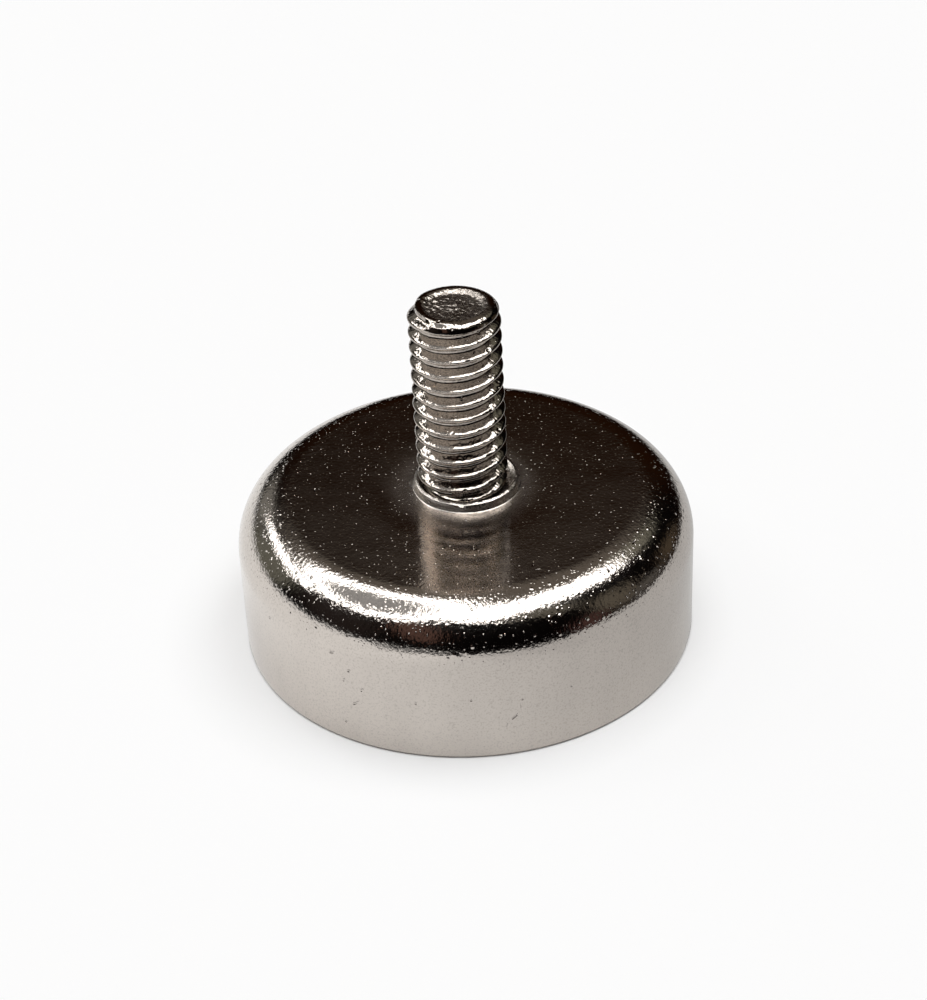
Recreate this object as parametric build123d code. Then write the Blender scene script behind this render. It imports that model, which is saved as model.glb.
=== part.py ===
from build123d import *
from math import sqrt
import os

# Pot magnet with a threaded stud, in millimetres.
#
# A deep-drawn steel cup holds a magnet disc, which is potted in it with resin. A headed stud was pressed
# through the cup's floor from the inside. Its head lies flush in the floor, under the magnet.
#
# Frame: +Z is the common axis and points along the stud. The origin is on the axis, in the plane of the
# cup's ground rim, which is the face that holds and on which the part rests. The cup stands upside
# down in this frame: its closed end, called the floor, is on top.

# ---- cup: driving dimensions ------------------------------------------------------------------------
cup_diameter = 20.0
cup_height = 7.0  # from the ground rim to the flat of the floor
cup_wall = 1.5
cup_floor = 1.6
outer_corner = 2.4  # radius that the drawing die leaves round the floor
inner_corner = 0.8  # radius of the punch
rim_break = 0.15  # edges of the rim, broken after grinding

# ---- burr lip that piercing the floor pushed up round the stud ---------------------------------------
lip_height = 0.4
lip_clearance = 0.2  # from the thread's crests to the lip, along the radius
lip_land = 0.07  # width of the worn crest of the lip, along the radius
lip_slope = 0.25  # width of the lip's outer side, along the radius
lip_groove = 0.35  # depth of the groove between lip and shank, below the lip's crest

# ---- stud: driving dimensions -----------------------------------------------------------------------
stud_projection = 9.0  # from the flat of the floor to the end of the stud
thread_diameter = 3.92  # over the crests of a rolled M4 thread
thread_pitch = 0.7
end_chamfer = 0.3
end_land = 0.24  # width of the flat ring between the chamfer and the dish
dish_depth = 0.12  # rolling the thread draws the end of the blank hollow
dish_slope = 0.4  # width of the dish's sloping side, along the radius
pip_diameter = 0.5  # the centre mark in the dish
pip_depth = 0.08
runout_height = 0.28  # from the lip's crest to the first full crest of the thread
head_diameter = 6.4
head_thickness = 0.8
rib_count = 12  # ribs round the head bite in the floor and stop it from turning
rib_height = 0.25

# ---- magnet and resin: driving dimensions -------------------------------------------------------------
potting_gap = 0.5  # between the magnet and the cup's wall
glue_film = 0.15  # between the magnet and the floor
magnet_recess = 0.25  # the magnet's face lies this far behind the rim, which takes the knocks
magnet_edge = 0.3
resin_recess = 0.45  # from the rim to the resin's surface

# ---- worked out from the driving dimensions -----------------------------------------------------------
cup_radius = cup_diameter / 2
cavity_radius = cup_radius - cup_wall
cavity_depth = cup_height - cup_floor

thread_radius = thread_diameter / 2
pitch_radius_drop = 0.3248 * thread_pitch  # from crest to pitch line on a metric thread
shank_radius = thread_radius - pitch_radius_drop  # a rolled thread rises from a blank of its pitch diameter

lip_inner_radius = thread_radius + lip_clearance
lip_outer_radius = lip_inner_radius + lip_land
lip_foot_radius = lip_outer_radius + lip_slope
lip_crest_z = cup_height + lip_height
lip_groove_z = lip_crest_z - lip_groove

thread_start_z = lip_crest_z + runout_height
stud_end_z = cup_height + stud_projection
dish_radius = thread_radius - end_chamfer - end_land
dish_floor_z = stud_end_z - dish_depth
head_radius = head_diameter / 2

magnet_radius = cavity_radius - potting_gap
magnet_thickness = cavity_depth - glue_film - magnet_recess


def turned(*corners):
    """The face between these (radius, height) corners, in the plane that is swept round Z."""
    return make_face(Plane.XZ * Polyline(*corners, close=True))


def corner(face, radius, height):
    """The corner of a turned face at this radius and height."""
    return face.vertices().sort_by_distance((radius, 0, height))[0]


def cavity():
    """The space inside the cup, from the rim to the floor, with the punch's radius at its closed end."""
    space = turned((0, 0), (cavity_radius, 0), (cavity_radius, cavity_depth), (0, cavity_depth))
    space = fillet(corner(space, cavity_radius, cavity_depth), inner_corner)
    return revolve(space, Axis.Z)


def ribbed_head():
    """The head of the stud, with V-shaped ribs round its edge. It also presses its seat into the floor."""
    rib = Rot(0, 0, 45) * Rectangle(rib_height * sqrt(2), rib_height * sqrt(2))
    outline = Circle(head_radius) + PolarLocations(head_radius, rib_count) * rib
    return Pos(0, 0, cavity_depth) * extrude(outline, head_thickness)


def upright(radius, height):
    """A cylinder on the common axis that stands on the plane of the rim."""
    return Cylinder(radius, height, align=(Align.CENTER, Align.CENTER, Align.MIN))


def cup_blank():
    """The outside of the cup as drawn and pierced, with the burr lip round its hole, still filled."""
    blank = turned(
        (0, 0),
        (cup_radius, 0),
        (cup_radius, cup_height),
        (lip_foot_radius, cup_height),
        (lip_outer_radius, lip_crest_z),
        (lip_inner_radius, lip_crest_z),
        (shank_radius, lip_groove_z),
        (0, lip_groove_z),
    )
    blank = fillet(corner(blank, cup_radius, cup_height), outer_corner)
    return revolve(blank, Axis.Z)


def steel_cup():
    """The drawn cup: closed end on top, ground rim below, and the seat of the stud's head in its floor."""
    cup = cup_blank() - cavity() - ribbed_head() - upright(shank_radius, lip_crest_z)
    rim = cup.faces().sort_by(Axis.Z)[0]
    return chamfer(rim.edges(), rim_break)


def threaded_stud():
    """The stud: ribbed head, blank shank through the floor, thread at its crest diameter, dished end."""
    profile = turned(
        (0, cavity_depth),
        (shank_radius, cavity_depth),
        (shank_radius, thread_start_z - pitch_radius_drop),
        (thread_radius, thread_start_z),
        (thread_radius, stud_end_z - end_chamfer),
        (thread_radius - end_chamfer, stud_end_z),
        (dish_radius, stud_end_z),
        (dish_radius - dish_slope, dish_floor_z),
        (pip_diameter / 2, dish_floor_z),
        (0, dish_floor_z - pip_depth),
    )
    return revolve(profile, Axis.Z) + ribbed_head()


def magnet_disc():
    """The magnet: a pressed and sintered disc with small chamfers, plated all over."""
    disc = turned(
        (0, magnet_recess),
        (magnet_radius, magnet_recess),
        (magnet_radius, magnet_recess + magnet_thickness),
        (0, magnet_recess + magnet_thickness),
    )
    for height in (magnet_recess, magnet_recess + magnet_thickness):
        disc = chamfer(corner(disc, magnet_radius, height), magnet_edge)
    return revolve(disc, Axis.Z)


def potting_resin():
    """The resin: it fills the cavity round and behind the magnet, up to its own surface near the rim."""
    return cavity() - upright(cavity_radius, resin_recess) - magnet_disc()


PIECES = {
    "steel_cup": steel_cup,
    "threaded_stud": threaded_stud,
    "magnet_disc": magnet_disc,
    "potting_resin": potting_resin,
}

os.makedirs("parts", exist_ok=True)
for name, make in PIECES.items():
    export_step(make(), f"parts/{name}.step")
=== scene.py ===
"""Pot magnet with a threaded stud, dressed around its packed frame.

The drawn steel cup and its stud are bright nickel, the magnet is satin nickel and the resin is black
epoxy. Sizes are metres, as in the frame. +Z points along the stud, and the cup's rim stands on Z = 0.
"""

import math

import bmesh
import bpy
from bpy.props import FloatProperty, FloatVectorProperty, PointerProperty
from mathutils import Matrix, Quaternion, Vector, noise


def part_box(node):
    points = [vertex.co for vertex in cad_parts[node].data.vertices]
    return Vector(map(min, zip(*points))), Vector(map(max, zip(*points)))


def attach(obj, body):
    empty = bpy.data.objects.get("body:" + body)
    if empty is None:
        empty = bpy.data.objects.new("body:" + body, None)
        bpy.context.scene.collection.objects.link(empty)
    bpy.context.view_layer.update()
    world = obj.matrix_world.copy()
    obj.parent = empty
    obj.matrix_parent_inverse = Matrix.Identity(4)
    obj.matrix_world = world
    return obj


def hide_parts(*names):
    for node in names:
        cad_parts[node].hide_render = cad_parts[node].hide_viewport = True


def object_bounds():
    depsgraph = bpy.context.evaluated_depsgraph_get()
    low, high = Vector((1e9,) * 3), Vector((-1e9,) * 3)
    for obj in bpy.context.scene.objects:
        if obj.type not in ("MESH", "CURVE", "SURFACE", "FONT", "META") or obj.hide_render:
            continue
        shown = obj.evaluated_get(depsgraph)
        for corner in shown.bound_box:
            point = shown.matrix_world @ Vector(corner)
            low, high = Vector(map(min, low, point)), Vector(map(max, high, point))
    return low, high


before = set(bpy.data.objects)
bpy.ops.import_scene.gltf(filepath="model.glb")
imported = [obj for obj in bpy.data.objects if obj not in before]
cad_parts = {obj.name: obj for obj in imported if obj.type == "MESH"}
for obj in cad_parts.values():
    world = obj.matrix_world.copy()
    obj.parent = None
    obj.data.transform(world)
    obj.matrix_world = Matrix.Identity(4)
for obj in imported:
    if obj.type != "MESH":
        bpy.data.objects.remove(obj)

bl_info = {
    "name": "Pot magnet",
    "version": (1, 0, 0),
    "blender": (4, 5, 0),
    "location": "3D View > Sidebar > Pot magnet",
    "description": "Builds a plated pot magnet with a threaded stud, and a small stage for it",
    "category": "Add Mesh",
}

MM = 0.001
MICRON = 0.000001
FULL_TURN = 2 * math.pi
WELD = 1 * MICRON

CAD_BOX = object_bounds()
CUP_LOW, CUP_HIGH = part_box("steel_cup")
STUD_LOW, STUD_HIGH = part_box("threaded_stud")
MAGNET_LOW, MAGNET_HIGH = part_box("magnet_disc")
RESIN_LOW, RESIN_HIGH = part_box("potting_resin")


def linear(hex_colour):
    """The linear RGB of an sRGB hex colour such as '#D4CBBF'."""
    channels = [int(hex_colour[i : i + 2], 16) / 255 for i in (1, 3, 5)]
    return tuple(c / 12.92 if c <= 0.04045 else ((c + 0.055) / 1.055) ** 2.4 for c in channels)


# ---- sizes and colours that a user would change ------------------------------------------------------


def length(name, description, default):
    """A length in metres."""
    return FloatProperty(
        name=name, description=description, default=default, min=0, precision=5, unit="LENGTH"
    )


def colour(name, description, hex_colour):
    """A colour, given as sRGB hex and kept as linear RGB."""
    return FloatVectorProperty(
        name=name, description=description, default=linear(hex_colour), min=0, max=1, size=3, subtype="COLOR"
    )


class CupSettings(bpy.types.PropertyGroup):
    """The drawn steel cup."""

    diameter: length("Diameter", "Across the wall", CUP_HIGH.x - CUP_LOW.x)
    height: length("Height", "From the ground rim to the flat of the closed end", 7.0 * MM)
    outer_corner: length("Outer corner", "Radius between wall and closed end", 2.4 * MM)
    inner_corner: length("Inner corner", "Radius inside the closed end", 0.8 * MM)
    rim_break: length("Rim break", "Worn edges of the ground rim", 0.15 * MM)
    lip_inner: length("Lip radius inside", "Radius of the burr lip's inner edge", 2.14 * MM)
    lip_land: length("Lip land", "Width of the burr lip's worn crest", 0.14 * MM)
    lip_wear: length("Lip wear", "How far the worn crest slopes down outwards", 0.07 * MM)
    lip_groove: length("Lip groove", "Depth of the groove between lip and shank", 0.35 * MM)
    lip_foot: length("Lip foot", "Radius between the burr lip and the flat", 0.12 * MM)
    pressed_radius: length("Pressed radius", "Radius of the shallow hollow round the stud", 4.2 * MM)
    pressed_depth: length("Pressed depth", "Depth of that hollow beside the lip", 0.04 * MM)
    plating: colour("Plating", "Bright nickel over drawn steel", "#D6CEC6")


class StudSettings(bpy.types.PropertyGroup):
    """The threaded stud."""

    crest_radius: length("Crest radius", "Radius over the thread's crests", 1.96 * MM)
    pitch: length("Pitch", "Rise of the thread in one turn", 0.7 * MM)
    groove_depth: length("Groove depth", "From the crests to the root", 0.4 * MM)
    root_radius: length("Root radius", "Roundness of the groove's root", 0.1 * MM)
    shank_radius: length("Shank radius", "Radius of the blank below the thread", 1.733 * MM)
    end_round: length("End round", "Radius of the rolled-over edge at the end", 0.5 * MM)
    dish_depth: length("Dish depth", "Depth of the hollow that rolling leaves in the end", 0.14 * MM)
    dish_slope: length("Dish slope", "Width of the hollow's sloping side", 0.36 * MM)
    lean: FloatProperty(
        name="Lean",
        description="Tilt of the stud from the axis, towards -X",
        default=math.radians(0.6),
        unit="ROTATION",
    )
    plating: colour("Plating", "Bright nickel over a rolled thread", "#C0B7AE")


class FillSettings(bpy.types.PropertyGroup):
    """The magnet and the resin in the cup."""

    magnet_edge: length("Magnet edge", "Chamfer of the magnet's edges", 0.3 * MM)
    magnet_plating: colour("Magnet plating", "Satin nickel over the sintered magnet", "#BDB9B2")
    resin: colour("Resin", "Cured black epoxy", "#17181A")


class StageSettings(bpy.types.PropertyGroup):
    """The floor, the lamps and the room."""

    lamp_strength: FloatProperty(
        name="Lamp strength", description="Radiance of the lamps", default=4.2, min=0
    )
    lamp_distance: length("Lamp distance", "From the object to each lamp", 700 * MM)
    floor: colour("Floor", "Pale paper", "#F4F4F4")


# ---- modelling helpers -------------------------------------------------------------------------------


def round_corner(bm, vert, radius, finest):
    """Rounds a corner between two edges of an outline. Its facets are no longer than finest."""
    before, after = (edge.other_vert(vert).co - vert.co for edge in vert.link_edges)
    turn = math.pi - before.angle(after)
    bmesh.ops.bevel(
        bm,
        geom=[vert],
        offset=radius * math.tan(turn / 2),
        offset_type="OFFSET",
        segments=max(3, math.ceil(radius * turn / finest)),
        profile=0.5,
        affect="VERTICES",
        material=-1,
    )


def draw_outline(bm, corners, finest, closed=True):
    """Draws (radius, height, rounding) corners as a chain of edges in the XZ plane."""
    verts = [bm.verts.new((radius, 0, height)) for radius, height, _ in corners]
    ends = verts[1:] + verts[:1] if closed else verts[1:]
    for start, end in zip(verts, ends):
        bm.edges.new((start, end))
    for vert, (_, _, rounding) in zip(verts, corners):
        if rounding:
            round_corner(bm, vert, rounding, finest)


def split_edges(bm, longest):
    """Divides every edge that is longer than this."""
    for edge in list(bm.edges):
        cuts = math.ceil(edge.calc_length() / longest) - 1
        if cuts > 0:
            bmesh.ops.subdivide_edges(bm, edges=[edge], cuts=cuts)


def spin(bm, angle, steps, centre=(0, 0, 0), step_up=0, merge=False):
    """Spins an outline round an upright axis, which it may also climb, a little with each step."""
    bmesh.ops.spin(
        bm,
        geom=bm.verts[:] + bm.edges[:],
        cent=centre,
        axis=(0, 0, 1),
        dvec=(0, 0, step_up),
        angle=angle,
        steps=steps,
        use_merge=merge,
        use_duplicate=False,
    )


def turned(corners, finest, widest, steps, closed=True):
    """Turns (radius, height, rounding) corners round Z, in rings of faces no wider than widest."""
    bm = bmesh.new()
    draw_outline(bm, corners, finest, closed)
    split_edges(bm, widest)
    spin(bm, FULL_TURN, steps, merge=True)
    bmesh.ops.remove_doubles(bm, verts=bm.verts[:], dist=WELD)
    return bm


def add_piece(bm, node, slot, *materials):
    """Makes the piece that stands for a CAD node, gives it these materials and hides the node. The slot is
    not used.
    """
    bmesh.ops.recalc_face_normals(bm, faces=bm.faces[:])
    for face in bm.faces:
        face.smooth = True
    mesh = bpy.data.meshes.new(node + "_finished")
    bm.to_mesh(mesh)
    bm.free()
    for material in materials:
        mesh.materials.append(material)
    piece = bpy.data.objects.new(mesh.name, mesh)
    bpy.context.scene.collection.objects.link(piece)
    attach(piece, "root")
    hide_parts(node)


def angle_of(vert):
    """Angle of a vertex round Z, from +X."""
    return math.atan2(vert.co.y, vert.co.x)


def set_radius(vert, radius):
    """Moves a vertex along its own radius."""
    scale = radius / vert.co.xy.length
    vert.co.x *= scale
    vert.co.y *= scale


def eased(value, start, end):
    """Rises smoothly from 0 at start to 1 at end."""
    share = min(max((value - start) / (end - start), 0), 1)
    return share * share * (3 - 2 * share)


def ribbed_radius(radius, rib_height, rib_count, angle):
    """Radius of a round edge with V-shaped ribs, which are as high as they are wide on each side."""
    pitch = FULL_TURN / rib_count
    offset = abs((angle + pitch / 2) % pitch - pitch / 2) * radius
    return radius + max(0, rib_height - offset)


# ---- finishes ----------------------------------------------------------------------------------------


def add_node(tree, kind, settings, inputs):
    """Adds a shader node with its settings and its inputs, which are values or other nodes' outputs."""
    node = tree.nodes.new("ShaderNode" + kind)
    for name, value in settings.items():
        setattr(node, name, value)
    for key, value in inputs.items():
        if isinstance(value, bpy.types.NodeSocket):
            tree.links.new(value, node.inputs[key])
        else:
            node.inputs[key].default_value = value
    return node


def new_material(name):
    """An empty material, its node tree and the object coordinates that its patterns read."""
    material = bpy.data.materials.new(name)
    material.use_nodes = True
    material.node_tree.nodes.clear()
    tree = material.node_tree
    return material, tree, add_node(tree, "TexCoord", {}, {}).outputs["Object"]


def layered_height(tree, coords, layers):
    """Adds up noise patterns, in metres. Each layer is (size of its pattern, detail, height)."""
    total = 0.0
    for size, detail, height in layers:
        pattern = add_node(
            tree,
            "TexNoise",
            {},
            {"Vector": coords, "Scale": 1 / size, "Detail": detail, "Roughness": 0.55},
        )
        raised = add_node(
            tree, "Math", {"operation": "MULTIPLY_ADD"}, {0: pattern.outputs["Fac"], 1: height, 2: total}
        )
        total = raised.outputs[0]
    return total


LOWEST_SPECK = 0.3  # height of the lowest specks, as a share of the highest


def sparse_specks(tree, coords, spacing, share, radius, height):
    """Heights of small round specks: one in each cell of this spacing, of which only a share is kept."""
    cells = add_node(tree, "TexVoronoi", {"feature": "F1"}, {"Vector": coords, "Scale": 1 / spacing})
    chance = add_node(tree, "SeparateColor", {}, {"Color": cells.outputs["Color"]})
    kept = add_node(tree, "Math", {"operation": "LESS_THAN"}, {0: chance.outputs["Red"], 1: share})
    tall = add_node(
        tree,
        "Math",
        {"operation": "MULTIPLY_ADD"},
        {0: chance.outputs["Green"], 1: 1 - LOWEST_SPECK, 2: LOWEST_SPECK},
    )
    tall = add_node(tree, "Math", {"operation": "MULTIPLY"}, {0: kept.outputs[0], 1: tall.outputs[0]})
    dome = add_node(
        tree,
        "MapRange",
        {"interpolation_type": "SMOOTHSTEP"},
        {"Value": cells.outputs["Distance"], "From Max": radius / spacing, "To Min": height, "To Max": 0.0},
    )
    specks = add_node(tree, "Math", {"operation": "MULTIPLY"}, {0: dome.outputs[0], 1: tall.outputs[0]})
    return specks.outputs[0]


def ramp_product(tree, ramps, total=1.0):
    """Multiplies smooth ramps. Each is (value, where the ramp is 0, where it is 1)."""
    for value, zero, one in ramps:
        ramp = add_node(
            tree,
            "MapRange",
            {"interpolation_type": "SMOOTHSTEP"},
            {"Value": value, "From Min": zero, "From Max": one, "To Min": 0.0, "To Max": total},
        )
        total = ramp.outputs[0]
    return total


def weighted_sum(tree, total, *shares):
    """A value that grows by some amounts where their masks are 1. Each share is (mask, amount)."""
    for mask, amount in shares:
        grown = add_node(tree, "Math", {"operation": "MULTIPLY_ADD"}, {0: mask, 1: amount, 2: total})
        total = grown.outputs[0]
    return total


def height_and_radius(tree, coords):
    """The height above the rim and the distance from the axis."""
    level = add_node(tree, "VectorMath", {"operation": "MULTIPLY"}, {0: coords, 1: (1, 1, 0)})
    out = add_node(tree, "VectorMath", {"operation": "LENGTH"}, {0: level.outputs[0]}).outputs["Value"]
    return add_node(tree, "SeparateXYZ", {}, {0: coords}).outputs["Z"], out


def add_heights(tree, heights):
    """The sum of some heights."""
    total = 0.0
    for height in heights:
        total = add_node(tree, "Math", {"operation": "ADD"}, {0: height, 1: total}).outputs[0]
    return total


HAZE_SIZE = 0.8 * MM
CLOUD_SIZE = 1.5 * MM
CLOUD_TONE = 0.84  # of the plating's colour, in its darkest clouds
PORE_SIZE = 0.08 * MM  # real pores are finer and wouldn't show


def finish_nickel(tree, coords, plating, roughness, height, stain):
    """Ends a tree in nickel plate. Its gloss varies between two roughnesses, its colour darkens a little
    in upright clouds, and its pores are stained, down to a share of its colour."""
    low, high = roughness
    bump = add_node(tree, "Bump", {}, {"Height": height, "Distance": 1.0, "Strength": 1.0})
    haze = add_node(tree, "TexNoise", {}, {"Vector": coords, "Scale": 1 / HAZE_SIZE, "Detail": 3.0})
    rough = add_node(
        tree,
        "MapRange",
        {},
        {"Value": haze.outputs["Fac"], "From Min": 0.3, "From Max": 0.7, "To Min": low, "To Max": high},
    )
    upright = add_node(tree, "VectorMath", {"operation": "MULTIPLY"}, {0: coords, 1: (1, 1, 0.2)})
    tone = add_node(
        tree, "TexNoise", {}, {"Vector": upright.outputs[0], "Scale": 1 / CLOUD_SIZE, "Detail": 4.0}
    )
    mixed = add_node(
        tree,
        "Mix",
        {"data_type": "RGBA"},
        {0: tone.outputs["Fac"], 6: (*plating, 1), 7: (*(c * CLOUD_TONE for c in plating), 1)},
    )
    grain = add_node(tree, "TexNoise", {}, {"Vector": coords, "Scale": 1 / PORE_SIZE, "Detail": 1.0})
    pores = add_node(
        tree,
        "MapRange",
        {},
        {"Value": grain.outputs["Fac"], "From Min": 0.25, "From Max": 0.5, "To Min": stain, "To Max": 1.0},
    )
    stained = add_node(
        tree, "VectorMath", {"operation": "SCALE"}, {0: mixed.outputs[2], "Scale": pores.outputs[0]}
    )
    surface = add_node(
        tree,
        "BsdfPrincipled",
        {},
        {
            "Base Color": stained.outputs[0],
            "Metallic": 1.0,
            "Roughness": rough.outputs[0],
            "Normal": bump.outputs["Normal"],
        },
    )
    add_node(tree, "OutputMaterial", {}, {"Surface": surface.outputs["BSDF"]})


# Knocks and scratches in the cup's wall, on its unrolled surface:
# (degrees round, mm up, half-length, half-width, degrees of its turn, depth in microns)
WALL_MARKS = (
    (212.5, 4.3, 0.14, 0.09, 20, 40),
    (220.5, 3.7, 0.42, 0.13, 80, 12),
    (235.0, 4.5, 0.22, 0.07, 25, 45),
    (239.5, 3.82, 0.12, 0.08, 40, 45),
    (237.9, 3.25, 0.14, 0.07, 60, 42),
    (242.8, 3.0, 0.17, 0.07, 50, 42),
    (240.8, 2.2, 0.34, 0.065, 38, 42),
    (237.5, 1.01, 0.09, 0.07, 0, 30),
    (256.3, 2.82, 0.08, 0.06, 20, 30),
    (269.5, 3.08, 0.08, 0.06, 0, 30),
    (281.6, 2.85, 0.08, 0.05, 0, 25),
    (281.3, 2.5, 0.30, 0.06, 95, 36),
    (279.7, 2.02, 0.28, 0.06, 42, 36),
    (277.9, 1.58, 0.26, 0.06, 80, 36),
    (294.0, 2.9, 0.07, 0.05, 30, 25),
)

# Scratches in the flat, seen from above:
# (mm along X, mm along Y, half-length, half-width, degrees of its turn, depth in microns)
FLAT_MARKS = (
    (7.02, -4.65, 0.2, 0.05, 62, 32),
    (2.71, -6.11, 0.26, 0.05, 78, 32),
    (2.9, -6.5, 0.12, 0.03, 20, 22),
    (5.85, -4.9, 0.12, 0.04, 40, 24),
    (-6.5, 0.15, 0.16, 0.05, 80, 32),
)


def unrolled(tree, coords, radius, up):
    """The place on the cup's unrolled wall: along it from +X, and up."""
    flat = add_node(tree, "SeparateXYZ", {}, {0: coords})
    turn = add_node(tree, "Math", {"operation": "ARCTAN2"}, {0: flat.outputs["Y"], 1: flat.outputs["X"]})
    along = add_node(tree, "Math", {"operation": "MULTIPLY"}, {0: turn.outputs[0], 1: radius})
    return add_node(tree, "CombineXYZ", {}, {"X": along.outputs[0], "Y": up}).outputs[0]


def dents(tree, place, mask, marks):
    """Depths of marks, which are oval: (across, up or back, half-length, half-width, turn, depth)."""
    level = add_node(tree, "VectorMath", {"operation": "MULTIPLY"}, {0: place, 1: (1, 1, 0)}).outputs[0]
    depths = []
    for across, back, long, wide, lean, depth in marks:
        offset = add_node(
            tree,
            "Mapping",
            {"vector_type": "TEXTURE"},
            {
                "Vector": level,
                "Location": (across, back, 0),
                "Rotation": (0, 0, math.radians(lean)),
                "Scale": (long * MM, wide * MM, 1),
            },
        )
        away = add_node(tree, "VectorMath", {"operation": "LENGTH"}, {0: offset.outputs[0]})
        depths.append(ramp_product(tree, [(away.outputs["Value"], 1.0, 0.2)], -depth * MICRON))
    depth = add_heights(tree, depths)
    return add_node(tree, "Math", {"operation": "MULTIPLY"}, {0: mask, 1: depth}).outputs[0]


# Where the cup's finish changes, from not yet to wholly: distances from the axis, and heights
CORNER_OUT, CORNER_UP = (7.0 * MM, 8.3 * MM), (4.5 * MM, 5.6 * MM)
LIP_OUT, LIP_UP, LIP_CREST_UP = (2.9 * MM, 2.7 * MM), (6.98 * MM, 7.06 * MM), (7.3 * MM, 7.22 * MM)
ABOVE_WALL_UP = (3.9 * MM, 4.8 * MM)
ROUND_LIP_OUT = (3.8 * MM, 2.6 * MM)


def cup_nickel(plating, radius):
    """Bright nickel, electroplated over drawn steel. It mirrors the room, and fine specks in it catch the
    lamps. The flat kept the sheet's smooth skin and is dull only round the lip. The corner has the orange
    peel of drawing, and the lip's outer side is frosted."""
    material, tree, coords = new_material("bright_nickel_on_drawn_steel")
    up, out = height_and_radius(tree, coords)
    corner = ramp_product(tree, [(out, *CORNER_OUT), (up, *CORNER_UP)])
    lip = ramp_product(tree, [(out, *LIP_OUT), (up, *LIP_UP), (up, *LIP_CREST_UP)])
    above_wall = ramp_product(tree, [(up, *ABOVE_WALL_UP)])
    round_lip = ramp_product(tree, [(out, *ROUND_LIP_OUT)])
    wall_marks = [
        (math.radians(bearing - 360) * radius, height * MM, *rest) for bearing, height, *rest in WALL_MARKS
    ]
    flat_marks = [(across * MM, back * MM, *rest) for across, back, *rest in FLAT_MARKS]
    layers = (
        (2.5 * MM, 1.0, 14 * MICRON),
        (0.6 * MM, 2.0, weighted_sum(tree, 2.5 * MICRON, (corner, 5 * MICRON))),
        (0.15 * MM, 2.0, weighted_sum(tree, 3.5 * MICRON, (corner, 8 * MICRON), (lip, 22 * MICRON))),
    )
    specks = (  # (spacing, share that is kept, radius, height, where)
        (0.15 * MM, 0.6, 0.05 * MM, 14 * MICRON, above_wall),
        (0.4 * MM, 0.14, 0.06 * MM, 22 * MICRON, above_wall),
        (0.36 * MM, 0.4, 0.1 * MM, 30 * MICRON, corner),
    )
    heights = [layered_height(tree, coords, layers)]
    for *size, height, where in specks:
        heights.append(sparse_specks(tree, coords, *size, weighted_sum(tree, 0, (where, height))))
    heights.append(dents(tree, unrolled(tree, coords, radius, up), 1.0, wall_marks))
    heights.append(dents(tree, coords, above_wall, flat_marks))
    rough = [weighted_sum(tree, low, (round_lip, 0.14)) for low in (0.1, 0.14)]
    finish_nickel(tree, coords, plating, rough, add_heights(tree, heights), stain=0.82)
    return material


SHEARED_UP, SHEARED_OUT = (15.7 * MM, 15.8 * MM), (1.5 * MM, 1.3 * MM)


def thread_nickel(plating):
    """Bright nickel over a rolled thread. The rolls left waves along its turns, ripples across its flanks
    and pits. Its pores are stained dark, and the sheared end is rough and dull."""
    material, tree, coords = new_material("bright_nickel_on_rolled_thread")
    up, out = height_and_radius(tree, coords)
    sheared = ramp_product(tree, [(up, *SHEARED_UP), (out, *SHEARED_OUT)])
    lengthwise, upright = (
        add_node(tree, "VectorMath", {"operation": "MULTIPLY"}, {0: coords, 1: (1, 1, upward)}).outputs[0]
        for upward in (4, 0.3)
    )
    heights = [
        layered_height(tree, lengthwise, ((0.6 * MM, 0.0, 20 * MICRON), (0.3 * MM, 1.0, 3 * MICRON))),
        layered_height(tree, coords, ((0.18 * MM, 2.0, weighted_sum(tree, 0, (sheared, 48 * MICRON))),)),
        layered_height(tree, upright, ((0.12 * MM, 0.0, 8 * MICRON),)),
        sparse_specks(tree, coords, 0.2 * MM, 0.2, 0.05 * MM, 18 * MICRON),
        sparse_specks(tree, coords, 0.4 * MM, 0.25, 0.13 * MM, -50 * MICRON),
    ]
    rough = [weighted_sum(tree, low, (sheared, 0.16)) for low in (0.07, 0.13)]
    finish_nickel(tree, lengthwise, plating, rough, add_heights(tree, heights), stain=0.3)
    return material


def satin_nickel(plating):
    """Satin nickel over a ground, sintered magnet: dull, even and slightly grained."""
    material, tree, coords = new_material("satin_nickel_on_sintered_magnet")
    grain = layered_height(tree, coords, ((0.2 * MM, 3.0, 6 * MICRON),))
    pores = sparse_specks(tree, coords, 0.3 * MM, 0.15, 0.08 * MM, -14 * MICRON)
    finish_nickel(tree, coords, plating, (0.32, 0.42), add_heights(tree, [grain, pores]), stain=0.9)
    return material


DUSTY_TONE = 1.8  # of the resin's colour, where dust dulls it


def black_epoxy(resin):
    """Cast epoxy: black and glossy under a little dust, with a skin that sank as it cured."""
    material, tree, coords = new_material("cast_black_epoxy")
    height = layered_height(tree, coords, ((1.2 * MM, 2.0, 20 * MICRON), (0.15 * MM, 2.0, 2 * MICRON)))
    bump = add_node(tree, "Bump", {}, {"Height": height, "Distance": 1.0, "Strength": 1.0})
    dust = add_node(tree, "TexNoise", {}, {"Vector": coords, "Scale": 1 / (0.4 * MM), "Detail": 4.0})
    rough = add_node(
        tree,
        "MapRange",
        {},
        {"Value": dust.outputs["Fac"], "From Min": 0.35, "From Max": 0.7, "To Min": 0.22, "To Max": 0.45},
    )
    shade = add_node(
        tree,
        "Mix",
        {"data_type": "RGBA"},
        {0: dust.outputs["Fac"], 6: (*resin, 1), 7: (*(c * DUSTY_TONE for c in resin), 1)},
    )
    surface = add_node(
        tree,
        "BsdfPrincipled",
        {},
        {
            "Base Color": shade.outputs[2],
            "Roughness": rough.outputs[0],
            "IOR": 1.55,
            "Normal": bump.outputs["Normal"],
        },
    )
    add_node(tree, "OutputMaterial", {}, {"Surface": surface.outputs["BSDF"]})
    return material


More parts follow.
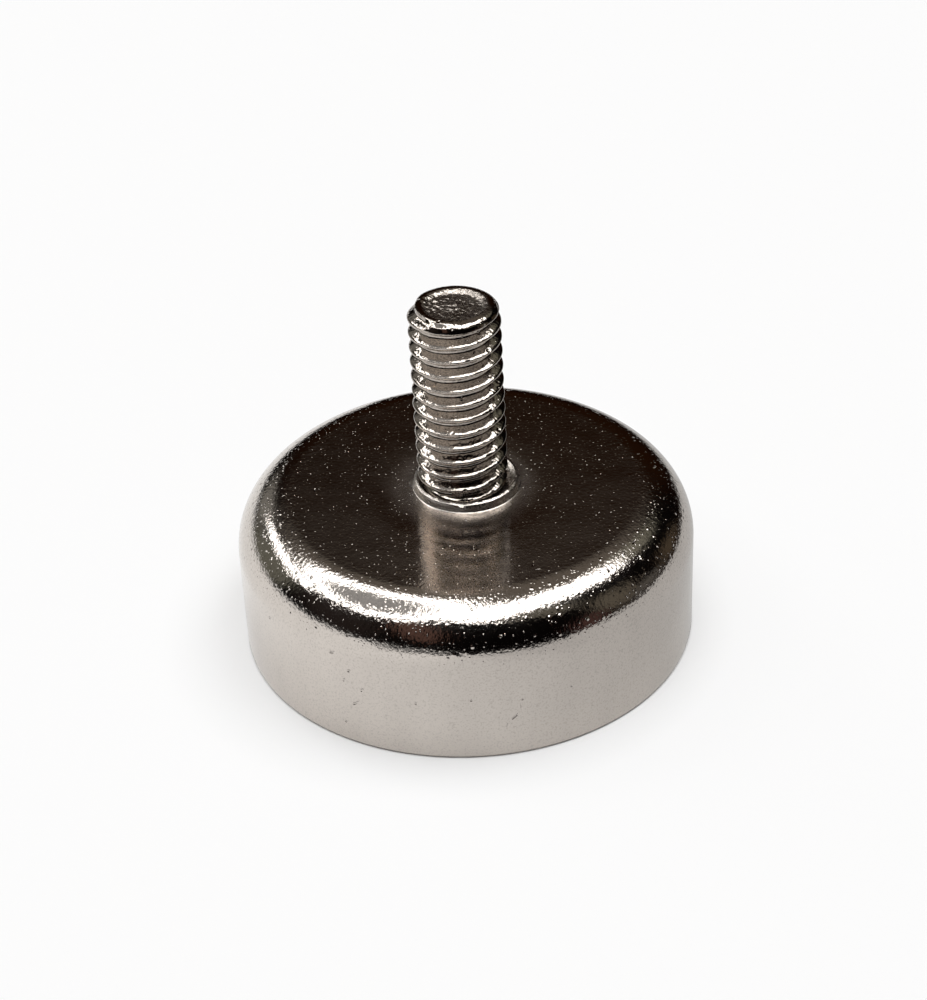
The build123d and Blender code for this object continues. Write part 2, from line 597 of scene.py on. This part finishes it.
# ---- the cup -----------------------------------------------------------------------------------------

CUP_STEPS = 432  # a multiple of the ribs round the stud's head
CUP_FACET = 0.1 * MM
CUP_RING = 0.35 * MM
PRESSED_EDGE = 8 * MM  # roundness of the pressed hollow's edge
LIP_EDGE, LIP_BURR = 0.06 * MM, 0.03 * MM  # roundness of the lip's outer and inner edge
LIP_UNEVENNESS = 0.035 * MM
LIP_OFFSET = Vector((0.14, 0.2, 0)) * MM  # the burr was pushed up a little to one side of the hole
OFFSET_BEGINS, OFFSET_ENDS = 2.05 * MM, 2.5 * MM  # distances from the axis between which it is whole
OFFSET_FADED = 3.2 * MM
RIB_COUNT = 12
RIB_HEIGHT = 0.25 * MM
HEAD_RADIUS = 3.2 * MM
HEAD_THICKNESS = 0.8 * MM


class POTMAGNET_OT_steel_cup(bpy.types.Operator):
    """Turns the drawn cup, with the burr lip round the stud and the seat of the stud's head"""

    bl_idname = "pot_magnet.steel_cup"
    bl_label = "Steel cup"

    def execute(self, context):
        cup = context.scene.pot_magnet_cup
        stud = context.scene.pot_magnet_stud
        radius = cup.diameter / 2
        lip_crest = CUP_HIGH.z
        lip_outer = cup.lip_inner + cup.lip_land
        seat_low, seat_high = STUD_LOW.z, STUD_LOW.z + HEAD_THICKNESS
        cavity_radius = RESIN_HIGH.x
        corners = (
            (radius, 0, cup.rim_break),
            (radius, cup.height, cup.outer_corner),
            (cup.pressed_radius, cup.height, PRESSED_EDGE),
            (lip_outer, cup.height - cup.pressed_depth, cup.lip_foot),
            (lip_outer, lip_crest - cup.lip_wear, LIP_EDGE),
            (cup.lip_inner, lip_crest, LIP_BURR),
            (stud.shank_radius, lip_crest - cup.lip_groove, 0),
            (stud.shank_radius, seat_high, 0),
            (HEAD_RADIUS, seat_high, 0),
            (HEAD_RADIUS, seat_low, 0),
            (cavity_radius, seat_low, cup.inner_corner),
            (cavity_radius, 0, cup.rim_break),
        )
        bm = turned(corners, CUP_FACET, CUP_RING, CUP_STEPS)
        for vert in bm.verts:
            out = vert.co.xy.length
            if seat_low - WELD < vert.co.z < seat_high + WELD and abs(out - HEAD_RADIUS) < WELD:
                set_radius(vert, ribbed_radius(HEAD_RADIUS, RIB_HEIGHT, RIB_COUNT, angle_of(vert)))
            if out < lip_outer:
                vert.co.z -= lip_unevenness(vert.co) * eased(vert.co.z, cup.height + 0.1 * MM, lip_crest)
            if vert.co.z > seat_high + WELD:
                freed = eased(out, stud.shank_radius + WELD, OFFSET_BEGINS)  # the hole fits the shank
                vert.co += LIP_OFFSET * freed * eased(out, OFFSET_FADED, OFFSET_ENDS)
        add_piece(bm, "steel_cup", "nickel_plated_cup", cup_nickel(cup.plating, radius))
        return {"FINISHED"}


def lip_unevenness(place):
    """How far the lip's crest stands below its highest point here."""
    waves = abs(noise.noise(place / (0.6 * MM)))
    nicks = abs(noise.noise(place / (0.15 * MM)))
    return LIP_UNEVENNESS * (waves + 0.3 * nicks)


# ---- the stud ----------------------------------------------------------------------------------------

STUD_STEPS = 144
THREAD_FACET = 0.035 * MM
CREST_BEAD = 0.05 * MM
CREST_HALF = 0.04 * MM
BURNISHED = 0.1 * MM  # how far in the rolls burnished the flank to a steeper lean
BURNISH_ROUND = 0.3 * MM  # roundness of the step between the two leans
CREST_LEAN = math.radians(33)  # between the flank beside the crest and a plane across the stud
FLANK_LEAN = math.radians(27.2)
TOP_CREST_DROP = 0.845 * MM  # from the end to the highest whole crest on the +X side


class POTMAGNET_OT_threaded_stud(bpy.types.Operator):
    """Winds the rolled thread, rounds its end and adds the shank and the ribbed head"""

    bl_idname = "pot_magnet.threaded_stud"
    bl_label = "Threaded stud"

    def execute(self, context):
        stud = context.scene.pot_magnet_stud
        cup = context.scene.pot_magnet_cup
        bm = bmesh.new()
        wind_thread(bm, stud)
        cut_to_length(bm, stud, CUP_HIGH.z - cup.lip_groove)
        close_end(bm, stud)
        add_head(bm, stud)
        lean_over(bm, stud.lean, cup.height)
        add_piece(bm, "threaded_stud", "nickel_plated_stud", thread_nickel(stud.plating))
        return {"FINISHED"}


def wind_thread(bm, stud):
    """One turn of the thread's outline, from crest to crest, and its copies up the stud."""
    crest, root, pitch = stud.crest_radius, stud.crest_radius - stud.groove_depth, stud.pitch
    shoulder = CREST_HALF + BURNISHED * math.tan(CREST_LEAN)
    foot = shoulder + (stud.groove_depth - BURNISHED) * math.tan(FLANK_LEAN)
    half = (
        (crest, 0, 0),
        (crest, CREST_HALF, CREST_BEAD),
        (crest - BURNISHED, shoulder, BURNISH_ROUND),
        (root, foot, stud.root_radius),
    )
    other_half = tuple((radius, pitch - height, rounding) for radius, height, rounding in reversed(half))
    draw_outline(bm, half + other_half, THREAD_FACET, closed=False)
    spin(bm, FULL_TURN, STUD_STEPS, step_up=pitch / STUD_STEPS)
    first_turn = bm.verts[:] + bm.edges[:] + bm.faces[:]
    top_crest = STUD_HIGH.z - TOP_CREST_DROP
    turns = math.ceil((top_crest - CUP_HIGH.z) / pitch) + 1
    start = top_crest - turns * pitch
    for turn in range(1, turns + 3):
        copied = bmesh.ops.duplicate(bm, geom=first_turn)
        moved = [part for part in copied["geom"] if isinstance(part, bmesh.types.BMVert)]
        bmesh.ops.translate(bm, verts=moved, vec=(0, 0, turn * pitch))
    bmesh.ops.translate(bm, verts=bm.verts[:], vec=(0, 0, start))
    bmesh.ops.remove_doubles(bm, verts=bm.verts[:], dist=WELD)


def cut(bm, height, **sides):
    """Cuts the mesh across at this height."""
    bmesh.ops.bisect_plane(
        bm,
        geom=bm.verts[:] + bm.edges[:] + bm.faces[:],
        dist=WELD / 100,
        plane_co=(0, 0, height),
        plane_no=(0, 0, 1),
        **sides,
    )


RUNOUT_LOW = 0.12 * MM
RUNOUT_HIGH = 0.5 * MM
FILLED_ABOVE = 0.22 * MM  # from the end: here the rolls folded the thread over its groove, on one side
OPEN_BELOW = 0.4 * MM
FOLD_BEGINS = (-150, -105)  # degrees round the stud, between which the fold comes up
FOLD_FADES = (90, 40)  # and between which it goes down
END_RINGS = 10


def cut_to_length(bm, stud, shank_top):
    """Trims the thread at both ends, rounds it over at the end and runs it out into the shank."""
    end, rounding = STUD_HIGH.z, stud.end_round
    face_radius = stud.crest_radius - rounding
    cut(bm, end, clear_outer=True)
    cut(bm, shank_top, clear_inner=True)
    for ring in range(1, END_RINGS):
        cut(bm, end - rounding * (1 - math.cos(ring / END_RINGS * math.pi / 2)))
    for vert in bm.verts:
        radius = vert.co.xy.length
        above = vert.co.z - (end - rounding)
        if above > 0:
            limit = face_radius + math.sqrt(max(0, rounding**2 - above**2))
            radius = min(radius, limit)
            angle = math.degrees(angle_of(vert))
            folded = eased(angle, *FOLD_BEGINS) * eased(angle, *FOLD_FADES)
            radius += (limit - radius) * folded * eased(end - vert.co.z, OPEN_BELOW, FILLED_ABOVE)
        fade = (vert.co.z - shank_top - RUNOUT_LOW) / (RUNOUT_HIGH - RUNOUT_LOW)
        fade = min(max(fade, 0), 1)
        set_radius(vert, stud.shank_radius + (radius - stud.shank_radius) * fade)


def open_loop(bm, height):
    """The open edges of the mesh at this height."""
    return [e for e in bm.edges if e.is_boundary and all(abs(v.co.z - height) < WELD for v in e.verts)]


def grow_loop(bm, edges, radius, height):
    """Extrudes an open loop of edges to a new height and radius, which may be a function of the angle."""
    grown = bmesh.ops.extrude_edge_only(bm, edges=edges)["geom"]
    for vert in grown:
        if isinstance(vert, bmesh.types.BMVert):
            set_radius(vert, radius(angle_of(vert)) if callable(radius) else radius)
            vert.co.z = height
    return [part for part in grown if isinstance(part, bmesh.types.BMEdge) and part.is_boundary]


FACE_RINGS = 28
DISH_LAND = 0.02 * MM  # from the rounded edge to the dish
PIP_FOOT, PIP_CREST, PIP_DIMPLE, PIP_FLOOR = 0.32 * MM, 0.25 * MM, 0.225 * MM, 0.1 * MM  # radii, inwards
PIP_HEIGHT = 0.02 * MM
SHEARED_HEIGHT = 0.02 * MM  # of the roughness that shearing left all over the end
SHEARED_FADE = 0.3 * MM  # where it fades at the edge
TORN_HEIGHT = 0.03 * MM  # added to that where the end is torn
TORN_PLACE = Vector((-1.1, 0.2)) * MM
TORN_REACH, TORN_MIDDLE = 0.9 * MM, 0.2 * MM


def close_end(bm, stud):
    """Closes the end with rings of faces: a shallow dish, rough from shearing, with a low ring in it."""
    face_radius = stud.crest_radius - stud.end_round
    edges = open_loop(bm, STUD_HIGH.z)
    for ring in range(FACE_RINGS - 1, 0, -1):
        radius = face_radius * ring / FACE_RINGS
        drop = stud.dish_depth * eased(radius, face_radius - DISH_LAND, face_radius - stud.dish_slope)
        pip = PIP_HEIGHT * (eased(radius, PIP_FOOT, PIP_CREST) - eased(radius, PIP_DIMPLE, PIP_FLOOR))
        edges = grow_loop(bm, edges, radius, STUD_HIGH.z - drop)
        for vert in {v for e in edges for v in e.verts}:
            rough = noise.noise(vert.co / (0.17 * MM)) + 0.6 * noise.noise(vert.co / (0.09 * MM))
            torn = eased((vert.co.xy - TORN_PLACE).length, TORN_REACH, TORN_MIDDLE)
            height = SHEARED_HEIGHT + TORN_HEIGHT * torn
            fade = SHEARED_FADE * (1 - torn) + WELD
            vert.co.z += height * eased(radius, face_radius, face_radius - fade) * rough + pip
    middle = bmesh.ops.contextual_create(bm, geom=edges)["faces"]
    bmesh.ops.poke(bm, faces=middle)


def add_head(bm, stud):
    """Extends the shank through the cup's floor and adds the flush head with its ribs."""
    top, bottom = STUD_LOW.z + HEAD_THICKNESS, STUD_LOW.z

    def rim(angle):
        return ribbed_radius(HEAD_RADIUS, RIB_HEIGHT, RIB_COUNT, angle)

    low = min(v.co.z for v in bm.verts)
    edges = open_loop(bm, low)
    edges = grow_loop(bm, edges, stud.shank_radius, top)
    edges = grow_loop(bm, edges, rim, top)
    edges = grow_loop(bm, edges, rim, bottom)
    bmesh.ops.contextual_create(bm, geom=edges)


def lean_over(bm, lean, pivot_height):
    """Tilts what stands above the cup towards -X."""
    for vert in bm.verts:
        above = vert.co.z - pivot_height
        if above > 0:
            vert.co.x -= above * math.sin(lean)


# ---- magnet and resin --------------------------------------------------------------------------------

FILL_STEPS = 192
FILL_RING = 1.5 * MM
RESIN_FACET = 0.05 * MM
MAGNET_WEAR = 0.06 * MM  # roundness of the magnet's chamfers
MENISCUS = 0.07 * MM  # how far the resin's surface sank between the magnet and the wall


class POTMAGNET_OT_magnet_disc(bpy.types.Operator):
    """Turns the magnet disc that lies in the cup"""

    bl_idname = "pot_magnet.magnet_disc"
    bl_label = "Magnet disc"

    def execute(self, context):
        fill = context.scene.pot_magnet_fill
        radius, low, high, edge = MAGNET_HIGH.x, MAGNET_LOW.z, MAGNET_HIGH.z, fill.magnet_edge
        corners = (
            (0, low, 0),
            (radius - edge, low, MAGNET_WEAR),
            (radius, low + edge, MAGNET_WEAR),
            (radius, high - edge, MAGNET_WEAR),
            (radius - edge, high, MAGNET_WEAR),
            (0, high, 0),
        )
        bm = turned(corners, MAGNET_WEAR / 2, FILL_RING, FILL_STEPS, closed=False)
        add_piece(bm, "magnet_disc", "nickel_plated_magnet", satin_nickel(fill.magnet_plating))
        return {"FINISHED"}


class POTMAGNET_OT_potting_resin(bpy.types.Operator):
    """Pours the resin round and behind the magnet, with a meniscus at its surface"""

    bl_idname = "pot_magnet.potting_resin"
    bl_label = "Potting resin"

    def execute(self, context):
        fill = context.scene.pot_magnet_fill
        cup = context.scene.pot_magnet_cup
        outer, inner, edge = RESIN_HIGH.x, MAGNET_HIGH.x, fill.magnet_edge
        surface, back = RESIN_LOW.z, RESIN_HIGH.z
        corners = (
            (0, MAGNET_HIGH.z, 0),
            (inner - edge, MAGNET_HIGH.z, 0),
            (inner, MAGNET_HIGH.z - edge, 0),
            (inner, surface + 0.1 * MM, 0),
            (inner - 0.02 * MM, surface, 0),
            ((inner + outer) / 2, surface + MENISCUS, 0.4 * MM),
            (outer, surface, 0),
            (outer, back, cup.inner_corner),
            (0, back, 0),
        )
        bm = turned(corners, RESIN_FACET, FILL_RING, FILL_STEPS, closed=False)
        add_piece(bm, "potting_resin", "epoxy_resin", black_epoxy(fill.resin))
        return {"FINISHED"}


# ---- stage -------------------------------------------------------------------------------------------

CAMERA_PLACE = (-0.036 * MM, -82.959 * MM, 62.185 * MM)
CAMERA_ELEVATION = math.radians(34.003)
CAMERA_ROLL = math.radians(2.601)
CAMERA_LENS = 82.42  # millimetres, on the 36 mm sensor
ROOM_RADIUS = 1500 * MM
NEARLY_BLACK = "#060404"
FLOOR_GLOW = 0.8  # share of the floor's white that the camera and bright metal see without shadow
CONTACT_GLOW = 0.42  # that share beside the object
CONTACT_REACH = 13 * MM  # nearer than this to the shaded place, the floor shows more of the shadow
SHADE_PLACE = (-1.0 * MM, 0.3 * MM, 0)
FOOT_RADIUS = CAD_BOX[1].x
LEFT_PAINTED_LIGHT = 1.0  # painted light: how bright the metal sees the floor on the left, as if nearer to the lamps
RIGHT_PAINTED_LIGHT = 0.54
FADE = 13 * MM  # how far from the axis, on either side, that painted light fades

# Flat lamps. All their sizes are degrees, as the object sees them:
# (name, to the right of the zenith, to its back, half-length, half-width, turned by)
FLAT_LAMPS = (
    ("softbox", 16, -3, 29, 11, 50),
    ("strip_lamp", -46.4, 28.5, 19, 3.4, 85),
)
# The ring lamp, likewise: its place, and the half-width and half-depth of its edges and its middle
RING_PLACE = (-22, 3.5)
RING_OUTSIDE, RING_INSIDE, RING_MIDDLE = (23.4, 28), (15.4, 18.9), (18, 21)
RING_INSIDE_SHIFT = -2
RING_MIDDLE_GLOW = 0.38

# What the plating mirrors of the dark room. The places are degrees from the zenith, right and back:
# (name, right, back, half-width, half-depth, inner share without fading, colour)
ROOM_TONES = (
    ("far_wall", 12, 68, 52, 22, 0.3, "#200F04"),
    ("left_front_wall", -58, -22, 28, 42, 0.4, "#27211F"),
    ("ceiling", -2, 18, 52, 41, 0.6, "#69625A"),
    ("ceiling_by_softbox", 33, 31, 17, 15, 0.3, "#7C7A6E"),
    ("left_wall", -66, 38, 24, 34, 0.5, "#6C6B62"),
    ("back_left_window", -38, 60, 19, 13, 0.4, "#85837E"),
    ("back_right_shelf", 76, 38, 20, 20, 0.4, "#4F4539"),
    ("right_table", 22, -22, 26, 12, 0.5, "#67635A"),
    ("right_wall", 66, -16, 24, 20, 0.4, "#625C52"),
    ("right_corner", 86, 4, 14, 24, 0.4, "#5A5753"),
    ("armchair", 68, -44, 16, 16, 0.4, "#4C3733"),
    ("wooden_door", -24, -44, 12, 28, 0.5, "#5C453D"),
)

SCREEN_STEPS = 64

# Low screens round the floor, which only bright metal mirrors, in millimetres and degrees:
# (name, right, back, radius, height, bearing of its start, sweep, colour)
SCREENS = (
    ("dark_edge_behind_paper", 30, -45, 98, 9, -25, 138, "#190F0A"),
    ("dark_edge_in_front", 0, 0, 125, 9, 228, 88, "#0A0707"),
    ("pale_wall_on_left", 0, 0, 600, 46, 118, 142, "#E4E5E6"),
)


class POTMAGNET_OT_stage(bpy.types.Operator):
    """Sets up the floor, the lamps, the dark room that the plating mirrors, and the camera"""

    bl_idname = "pot_magnet.stage"
    bl_label = "Stage"

    def execute(self, context):
        stage = context.scene.pot_magnet_stage
        lay_floor(stage.floor)
        hang_lamps(stage)
        surround_with_room()
        stand_screens()
        light_world()
        place_camera()
        return {"FINISHED"}


def add_stage_mesh(bm, name, material):
    """Makes a stage object from a bmesh."""
    mesh = bpy.data.meshes.new(name)
    bm.to_mesh(mesh)
    bm.free()
    mesh.materials.append(material)
    placed = bpy.data.objects.new(name, mesh)
    bpy.context.scene.collection.objects.link(placed)
    return placed


def direct_ray_share(tree, share):
    """This share for rays from the camera, metal and glass, and 0 for all others."""
    ray = add_node(tree, "LightPath", {}, {})
    seen = ray.outputs["Is Camera Ray"]
    for kind in ("Is Glossy Ray", "Is Transmission Ray"):
        seen = add_node(tree, "Math", {"operation": "MAXIMUM"}, {0: seen, 1: ray.outputs[kind]}).outputs[0]
    return add_node(tree, "Math", {"operation": "MULTIPLY"}, {0: seen, 1: share}).outputs[0]


def lay_floor(floor_colour):
    """A pale paper floor that keeps the object's shadow and darkens beside it. Bright metal sees it glow
    with painted light, brighter on the left than on the right. From below it is clear, and in the small gap
    under the cup the floor glows with painted light, so the magnet shows."""
    material, tree, coords = new_material("pale_paper")
    paper = add_node(tree, "BsdfDiffuse", {}, {"Color": (*floor_colour, 1)})
    out = add_node(tree, "VectorMath", {"operation": "LENGTH"}, {0: coords}).outputs["Value"]
    shade = add_node(tree, "VectorMath", {"operation": "DISTANCE"}, {0: coords, 1: SHADE_PLACE})
    across = add_node(tree, "SeparateXYZ", {}, {0: coords}).outputs["X"]
    ray = add_node(tree, "LightPath", {}, {})
    # painted light: bright metal sees the floor glow brighter on the left than on the right, while the
    # camera sees it evenly
    painted_floor_light = add_node(
        tree,
        "MapRange",
        {},
        {"Value": across, "From Min": -FADE, "From Max": FADE, "To Min": LEFT_PAINTED_LIGHT, "To Max": RIGHT_PAINTED_LIGHT},
    )
    strength = add_node(
        tree, "MapRange", {}, {"Value": ray.outputs["Is Camera Ray"], "To Min": painted_floor_light.outputs[0]}
    )
    glow = add_node(tree, "Emission", {}, {"Color": (1, 1, 1, 1), "Strength": strength.outputs[0]})
    open_share = add_node(
        tree,
        "MapRange",
        {},
        {
            "Value": shade.outputs["Value"],
            "From Min": FOOT_RADIUS,
            "From Max": CONTACT_REACH,
            "To Min": CONTACT_GLOW,
            "To Max": FLOOR_GLOW,
        },
    )
    beside = (out, FOOT_RADIUS - 0.1 * MM, FOOT_RADIUS + 0.08 * MM)
    outside = ramp_product(tree, [beside], open_share.outputs[0])
    # painted light: well under the cup the floor glows fully for the camera and bright metal, where there
    # would be shade
    under = ramp_product(tree, [(out, FOOT_RADIUS - 0.15 * MM, FOOT_RADIUS - 0.35 * MM)])
    share = add_node(tree, "Math", {"operation": "MAXIMUM"}, {0: outside, 1: under}).outputs[0]
    share = direct_ray_share(tree, share)
    pale = add_node(tree, "MixShader", {}, {0: share, 1: paper.outputs[0], 2: glow.outputs[0]})
    clear = add_node(tree, "BsdfTransparent", {}, {})
    side = add_node(tree, "NewGeometry", {}, {})
    both = add_node(
        tree, "MixShader", {}, {0: side.outputs["Backfacing"], 1: pale.outputs[0], 2: clear.outputs[0]}
    )
    add_node(tree, "OutputMaterial", {}, {"Surface": both.outputs[0]})
    bm = bmesh.new()
    bmesh.ops.create_circle(bm, cap_ends=True, segments=96, radius=ROOM_RADIUS)
    add_stage_mesh(bm, "floor", material)


def glowing(name, strength, tone="#FFFFFF"):
    """An evenly glowing surface."""
    material, tree, _ = new_material(name)
    glow = add_node(tree, "Emission", {}, {"Color": (*linear(tone), 1), "Strength": strength})
    add_node(tree, "OutputMaterial", {}, {"Surface": glow.outputs[0]})
    return material


def sky_place(right, back, distance):
    """The point at this distance whose direction leans right and back from the zenith, in degrees."""
    lean = math.radians(math.hypot(right, back))
    turn = math.atan2(back, right)
    flat = math.sin(lean)
    return Vector((flat * math.cos(turn), flat * math.sin(turn), math.cos(lean))) * distance


def hang(bm, name, material, place, turn):
    """Hangs a flat lamp with its back to the sky, turned round its middle as seen from above."""
    away = place.normalized()
    along = Vector((math.cos(turn), math.sin(turn), 0))
    along = (along - along.dot(away) * away).normalized()
    facing = Matrix((along, away.cross(along), away)).transposed().to_4x4()
    bmesh.ops.transform(bm, verts=bm.verts[:], matrix=Matrix.Translation(place) @ facing)
    lamp = add_stage_mesh(bm, name, material)
    lamp.visible_camera = False


def hang_lamps(stage):
    """A ring lamp above on the left, a softbox above on the right and a narrow strip behind on the left."""
    distance, white = stage.lamp_distance, glowing("lamp_white", stage.lamp_strength)

    def resize(bm, verts, degrees):
        half_width, half_depth = (distance * math.tan(math.radians(size)) for size in degrees)
        bmesh.ops.scale(bm, verts=verts, vec=(half_width, half_depth, 1))

    place = sky_place(*RING_PLACE, distance)
    bm = bmesh.new()
    outer = bmesh.ops.create_circle(bm, segments=96, radius=1)["verts"]
    inner = bmesh.ops.create_circle(bm, segments=96, radius=1)["verts"]
    bmesh.ops.bridge_loops(bm, edges=bm.edges[:])
    resize(bm, outer, RING_OUTSIDE)
    resize(bm, inner, RING_INSIDE)
    shift = distance * math.tan(math.radians(RING_INSIDE_SHIFT))
    bmesh.ops.translate(bm, verts=inner, vec=(shift, 0, 0))
    hang(bm, "ring_lamp", white, place, 0)

    bm = bmesh.new()
    bmesh.ops.create_circle(bm, cap_ends=True, segments=96, radius=1)
    resize(bm, bm.verts[:], RING_MIDDLE)
    hang(bm, "ring_lamp_middle", glowing("lamp_middle", RING_MIDDLE_GLOW), place * 1.01, 0)

    for name, right, back, half_length, half_width, turn in FLAT_LAMPS:
        bm = bmesh.new()
        bmesh.ops.create_grid(bm, x_segments=1, y_segments=1, size=1)
        resize(bm, bm.verts[:], (half_length, half_width))
        hang(bm, name, white, sky_place(right, back, distance), math.radians(turn))


def surround_with_room():
    """A dark room round the stage, for the plating to mirror. Cameras look through it."""
    material, tree, coords = new_material("dark_room")
    direction = add_node(tree, "VectorMath", {"operation": "NORMALIZE"}, {0: coords}).outputs[0]
    upward = add_node(tree, "SeparateXYZ", {}, {0: direction}).outputs["Z"]
    radians = add_node(tree, "Math", {"operation": "ARCCOSINE"}, {0: upward}).outputs[0]
    degrees = add_node(tree, "Math", {"operation": "DEGREES"}, {0: radians}).outputs[0]
    flat = add_node(tree, "VectorMath", {"operation": "MULTIPLY"}, {0: direction, 1: (1, 1, 0)})
    bearing = add_node(tree, "VectorMath", {"operation": "NORMALIZE"}, {0: flat.outputs[0]}).outputs[0]
    place = add_node(tree, "VectorMath", {"operation": "SCALE"}, {0: bearing, "Scale": degrees}).outputs[0]
    tones = (*linear(NEARLY_BLACK), 1)
    for _, right, back, half_width, half_depth, solid, tone in ROOM_TONES:
        offset = add_node(
            tree,
            "Mapping",
            {"vector_type": "TEXTURE"},
            {"Vector": place, "Location": (right, back, 0), "Scale": (half_width, half_depth, 1)},
        )
        away = add_node(tree, "VectorMath", {"operation": "LENGTH"}, {0: offset.outputs[0]})
        share = add_node(
            tree,
            "MapRange",
            {"interpolation_type": "SMOOTHSTEP"},
            {"Value": away.outputs["Value"], "From Min": solid, "To Min": 1.0, "To Max": 0.0},
        )
        mixed = add_node(
            tree, "Mix", {"data_type": "RGBA"}, {0: share.outputs[0], 6: tones, 7: (*linear(tone), 1)}
        )
        tones = mixed.outputs[2]
    glow = add_node(tree, "Emission", {}, {"Color": tones, "Strength": 1.0})
    add_node(tree, "OutputMaterial", {}, {"Surface": glow.outputs[0]})
    bm = bmesh.new()
    bmesh.ops.create_uvsphere(bm, u_segments=64, v_segments=32, radius=ROOM_RADIUS)
    room = add_stage_mesh(bm, "dark_room", material)
    room.visible_camera = False


def stand_screens():
    """Low curved screens, spun round their centres. The floor and the camera don't see them."""
    for name, right, back, radius, height, start, sweep, tone in SCREENS:
        bm = bmesh.new()
        start = math.radians(start)
        centre = Vector((right, back, 0)) * MM
        foot = centre + Vector((math.cos(start), math.sin(start), 0)) * radius * MM
        bm.edges.new([bm.verts.new(foot), bm.verts.new(foot + Vector((0, 0, height * MM)))])
        spin(bm, math.radians(sweep), SCREEN_STEPS, centre=centre)
        screen = add_stage_mesh(bm, name, glowing(name, 1.0, tone))
        screen.visible_camera = False
        screen.visible_diffuse = False
        screen.visible_shadow = False


def light_world():
    """A plain white background beyond the floor."""
    world = bpy.data.worlds.new("white_background")
    bpy.context.scene.world = world
    world.use_nodes = True
    tree = world.node_tree
    tree.nodes.clear()
    share = direct_ray_share(tree, 1.0)
    background = add_node(tree, "Background", {}, {"Color": (1, 1, 1, 1), "Strength": share})
    add_node(tree, "OutputWorld", {}, {"Surface": background.outputs[0]})


def place_camera():
    """The camera looks along +Y and down, and is rolled a little."""
    view_settings = bpy.context.scene.view_settings
    view_settings.view_transform = "Standard"
    camera = bpy.data.objects.new("camera", bpy.data.cameras.new("camera"))
    bpy.context.scene.collection.objects.link(camera)
    camera.location = CAMERA_PLACE
    looking = Vector((0, math.cos(CAMERA_ELEVATION), -math.sin(CAMERA_ELEVATION)))
    camera.rotation_mode = "QUATERNION"
    camera.rotation_quaternion = looking.to_track_quat("-Z", "Y") @ Quaternion((0, 0, 1), -CAMERA_ROLL)
    camera.data.lens = CAMERA_LENS
    camera.data.clip_start = 1 * MM
    camera.data.clip_end = 2 * ROOM_RADIUS
    bpy.context.scene.camera = camera


# ---- panel and registration --------------------------------------------------------------------------


class POTMAGNET_PT_panel(bpy.types.Panel):
    """Lists the sizes, colours and pieces of the pot magnet"""

    bl_idname = "POTMAGNET_PT_panel"
    bl_label = "Pot magnet"
    bl_space_type = "VIEW_3D"
    bl_region_type = "UI"
    bl_category = "Pot magnet"

    def draw(self, context):
        for name in SETTINGS:
            box = self.layout.box()
            group = getattr(context.scene, name)
            box.label(text=group.__doc__ or name)
            for prop in group.bl_rna.properties:
                if prop.identifier not in {"name", "rna_type"}:
                    box.prop(group, prop.identifier)
        for operator in OPERATORS:
            self.layout.operator(operator.bl_idname)


OPERATORS = (
    POTMAGNET_OT_steel_cup,
    POTMAGNET_OT_threaded_stud,
    POTMAGNET_OT_magnet_disc,
    POTMAGNET_OT_potting_resin,
    POTMAGNET_OT_stage,
)
SETTINGS = {
    "pot_magnet_cup": CupSettings,
    "pot_magnet_stud": StudSettings,
    "pot_magnet_fill": FillSettings,
    "pot_magnet_stage": StageSettings,
}
CLASSES = (*SETTINGS.values(), *OPERATORS, POTMAGNET_PT_panel)


def register():
    for cls in CLASSES:
        bpy.utils.register_class(cls)
    for name, group in SETTINGS.items():
        setattr(bpy.types.Scene, name, PointerProperty(type=group))


def unregister():
    for name in SETTINGS:
        delattr(bpy.types.Scene, name)
    for cls in reversed(CLASSES):
        bpy.utils.unregister_class(cls)


def main():
    """Builds the pot magnet and its stage."""
    register()
    bpy.ops.pot_magnet.steel_cup()
    bpy.ops.pot_magnet.threaded_stud()
    bpy.ops.pot_magnet.magnet_disc()
    bpy.ops.pot_magnet.potting_resin()
    bpy.ops.pot_magnet.stage()


if __name__ == "__main__":
    main()
